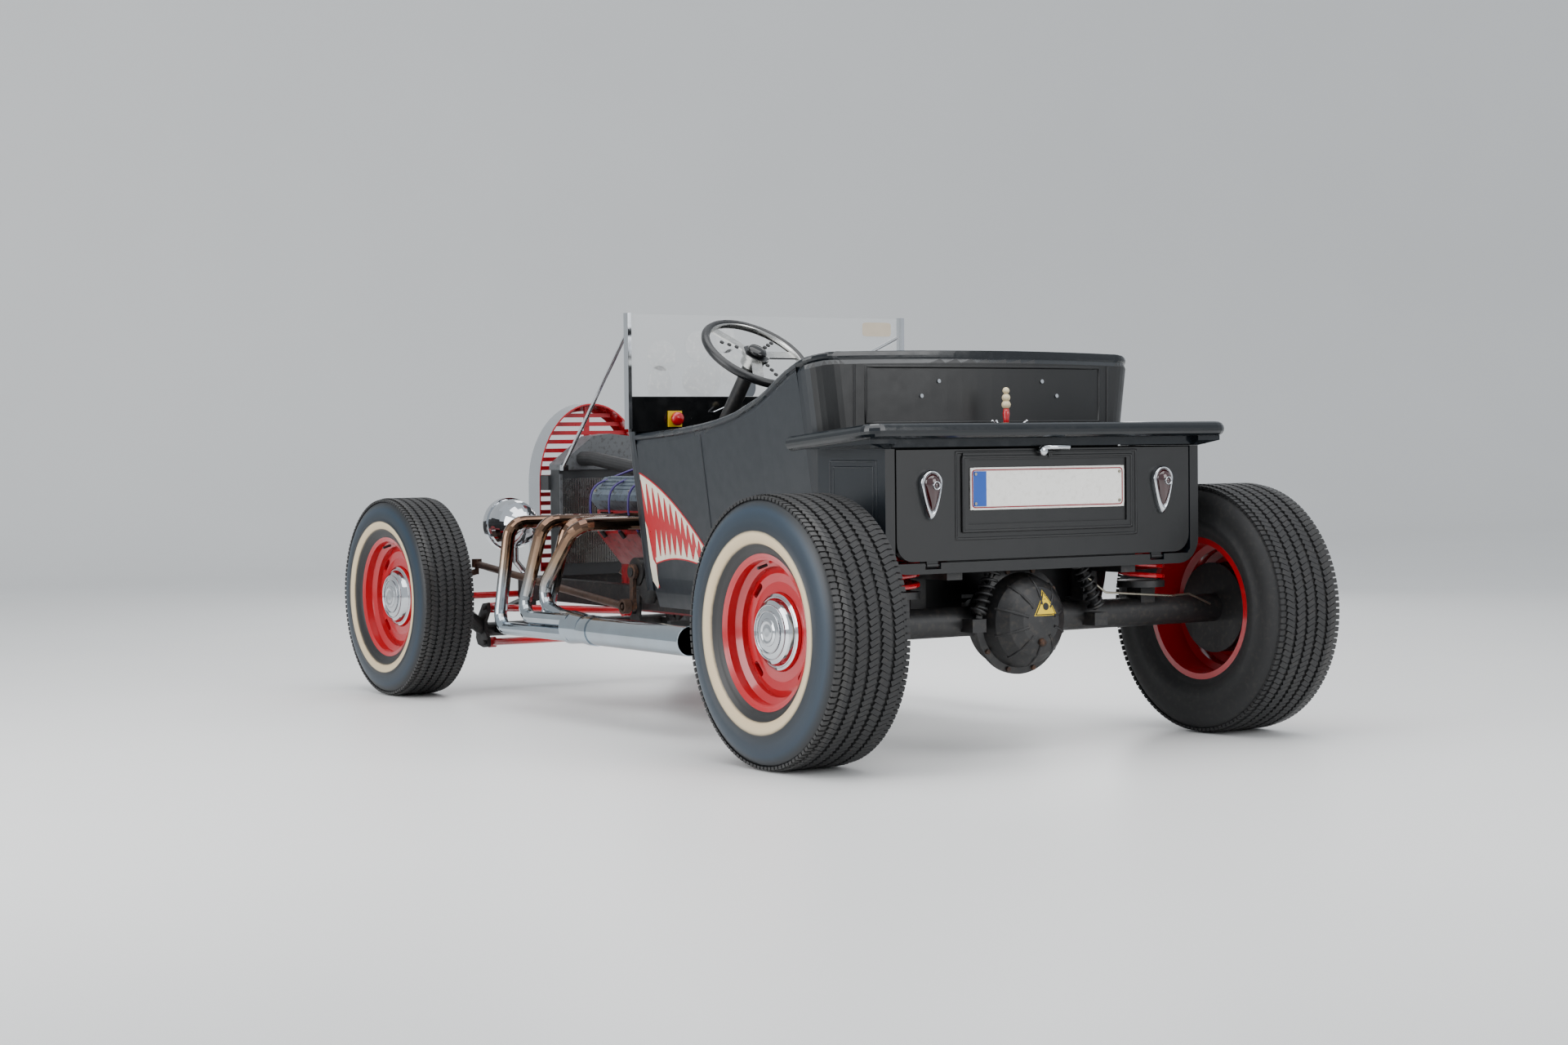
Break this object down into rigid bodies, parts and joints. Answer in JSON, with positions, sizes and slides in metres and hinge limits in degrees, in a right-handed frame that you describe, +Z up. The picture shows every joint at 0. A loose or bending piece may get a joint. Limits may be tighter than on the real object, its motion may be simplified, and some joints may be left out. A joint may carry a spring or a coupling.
{
  "type": "street rod roadster with a short pickup bed",
  "caption": "Open street rod roadster with a short covered bed, side exhaust headers, steered front wheels, free rolling wheels and a drop-down tailgate.",
  "frame": {"origin": "on the ground, midway between the front and the back of the tyres, on the centre line", "axes": "+Z up, the nose points to -Y, the left side is +X"},
  "size_m": [1.71, 3.1824, 1.225],
  "materials": {
    "body_paint": "satin navy-charcoal paint",
    "black_chassis_paint": "satin black paint, road-worn",
    "red_paint": "gloss red paint",
    "engine_red": "engine enamel, oily",
    "chrome": "polished",
    "header_chrome": "polished, heat-browned near the ports",
    "cast_aluminium": "cast, finned",
    "radiator_metal": "dark core under a grey tank",
    "grille_paint": "dark red paint",
    "rubber_hose": "ribbed",
    "lamp_glass": "clear",
    "clear_acrylic": "clear, lightly scratched",
    "dash_black": "gloss black",
    "floor_black": "textured",
    "black_vinyl": "satin vinyl",
    "gloss_black_trim": "gloss black padding",
    "cover_cloth": "black cover with a brown seam",
    "red_lens": "dark red lens in a bright rim",
    "red_plastic": "glossy",
    "plate_white": "white plate, blank",
    "steel_line": "bare steel",
    "worn_steel": "worn, slightly rusty",
    "rusty_link": "brown surface rust",
    "steering_black": "black grip",
    "tyre_rubber": "black tread, blue-grey side, beige whitewall"
  },
  "bodies": {
    "chassis": {"chassis_frame": "black_chassis_paint", "tie_down_lugs": "black_chassis_paint", "front_axle": "black_chassis_paint", "radius_rods": "red_paint", "steering_column": "black_chassis_paint", "rear_axle": "black_chassis_paint", "rear_coil_springs": "red_paint", "rear_shocks": "black_chassis_paint", "brake_line": "steel_line", "driveline": "black_chassis_paint", "engine_block": "engine_red", "valve_covers": "cast_aluminium", "intake_and_air_cleaner": "cast_aluminium", "left_exhaust_header": "header_chrome", "right_exhaust_header": "header_chrome", "radiator": "radiator_metal", "radiator_hose": "rubber_hose", "grille_shell": "chrome", "grille_bars": "grille_paint", "headlamps": "chrome", "headlamp_lenses": "lamp_glass", "tub_left_side": "body_paint", "tub_right_side": "body_paint", "tub_back": "body_paint", "cowl": "body_paint", "floor_panel": "floor_black", "dashboard": "dash_black", "windshield": "clear_acrylic", "windshield_frame": "chrome", "seat_cushion": "black_vinyl", "seat_back": "black_vinyl", "gear_lever": "chrome", "cowl_lamp": "red_plastic", "bed_box": "body_paint", "bed_rails": "gloss_black_trim", "tonneau_cover": "cover_cloth"},
    "front_left_hub": {"front_left_tyre": "tyre_rubber", "front_left_wheel": "red_paint"},
    "front_right_hub": {"front_right_tyre": "tyre_rubber", "front_right_wheel": "red_paint"},
    "rear_left_hub": {"rear_left_tyre": "tyre_rubber", "rear_left_wheel": "red_paint"},
    "rear_right_hub": {"rear_right_tyre": "tyre_rubber", "rear_right_wheel": "red_paint"},
    "left_steering_knuckle": {"left_knuckle": "worn_steel"},
    "right_steering_knuckle": {"right_knuckle": "worn_steel"},
    "tie_rod_bar": {"tie_rod": "red_paint"},
    "drag_link_bar": {"drag_link": "rusty_link"},
    "pitman": {"pitman_arm": "worn_steel"},
    "steering_wheel_rim": {"steering_wheel": "steering_black"},
    "fan_rotor": {"engine_fan": "worn_steel"},
    "tailgate_panel": {"tailgate": "body_paint", "tail_lights": "red_lens", "number_plate": "plate_white"}
  },
  "joints": [
    {"name": "front_left_wheel_spin", "type": "hinge", "parent": "left_steering_knuckle", "child": "front_left_hub", "pos_m": [0.6515, -1.26125, 0.33], "axis": [1, 0, 0], "continuous": true},
    {"name": "front_right_wheel_spin", "type": "hinge", "parent": "right_steering_knuckle", "child": "front_right_hub", "pos_m": [-0.6515, -1.26125, 0.33], "axis": [1, 0, 0], "continuous": true},
    {"name": "rear_left_wheel_spin", "type": "hinge", "parent": "chassis", "child": "rear_left_hub", "pos_m": [0.73, 1.23875, 0.3525], "axis": [1, 0, 0], "continuous": true},
    {"name": "rear_right_wheel_spin", "type": "hinge", "parent": "chassis", "child": "rear_right_hub", "pos_m": [-0.73, 1.23875, 0.3525], "axis": [1, 0, 0], "continuous": true},
    {"name": "left_steer", "type": "hinge", "parent": "chassis", "child": "left_steering_knuckle", "pos_m": [0.535, -1.26125, 0.33], "axis": [0, 0, 1], "range_deg": [-18, 18]},
    {"name": "right_steer", "type": "hinge", "parent": "chassis", "child": "right_steering_knuckle", "pos_m": [-0.535, -1.26125, 0.33], "axis": [0, 0, 1], "range_deg": [-18.2, 18.2]},
    {"name": "tie_rod_pivot", "type": "hinge", "parent": "left_steering_knuckle", "child": "tie_rod_bar", "pos_m": [0.535, -1.13125, 0.33], "axis": [0, 0, 1], "range_deg": [-18.2, 18.2]},
    {"name": "drag_link_pivot", "type": "hinge", "parent": "left_steering_knuckle", "child": "drag_link_bar", "pos_m": [0.43, -1.18725, 0.432], "axis": [0, 0, 1], "range_deg": [-20, 20]},
    {"name": "pitman_swing", "type": "hinge", "parent": "chassis", "child": "pitman", "pos_m": [0.394, -0.19025, 0.44], "axis": [1, 0, 0], "range_deg": [-18.2, 18.2]},
    {"name": "steering_wheel_turn", "type": "hinge", "parent": "chassis", "child": "steering_wheel_rim", "pos_m": [0.295, 0.37375, 1.091], "axis": [-0.0778, 0.5866, 0.8061], "range_deg": [-290, 290]},
    {"name": "fan_spin", "type": "hinge", "parent": "chassis", "child": "fan_rotor", "pos_m": [0, -0.75225, 0.53], "axis": [0, 1, 0], "continuous": true},
    {"name": "tailgate_drop", "type": "hinge", "parent": "chassis", "child": "tailgate_panel", "pos_m": [0, 1.34675, 0.512], "axis": [-1, 0, 0], "range_deg": [0, 90]}
  ],
  "couplings": [
    {"joint": "right_steer", "follows": "left_steer", "ratio": 1},
    {"joint": "tie_rod_pivot", "follows": "left_steer", "ratio": -1},
    {"joint": "drag_link_pivot", "follows": "left_steer", "ratio": -1.073},
    {"joint": "pitman_swing", "follows": "left_steer", "ratio": -1},
    {"joint": "steering_wheel_turn", "follows": "left_steer", "ratio": 16}
  ]
}
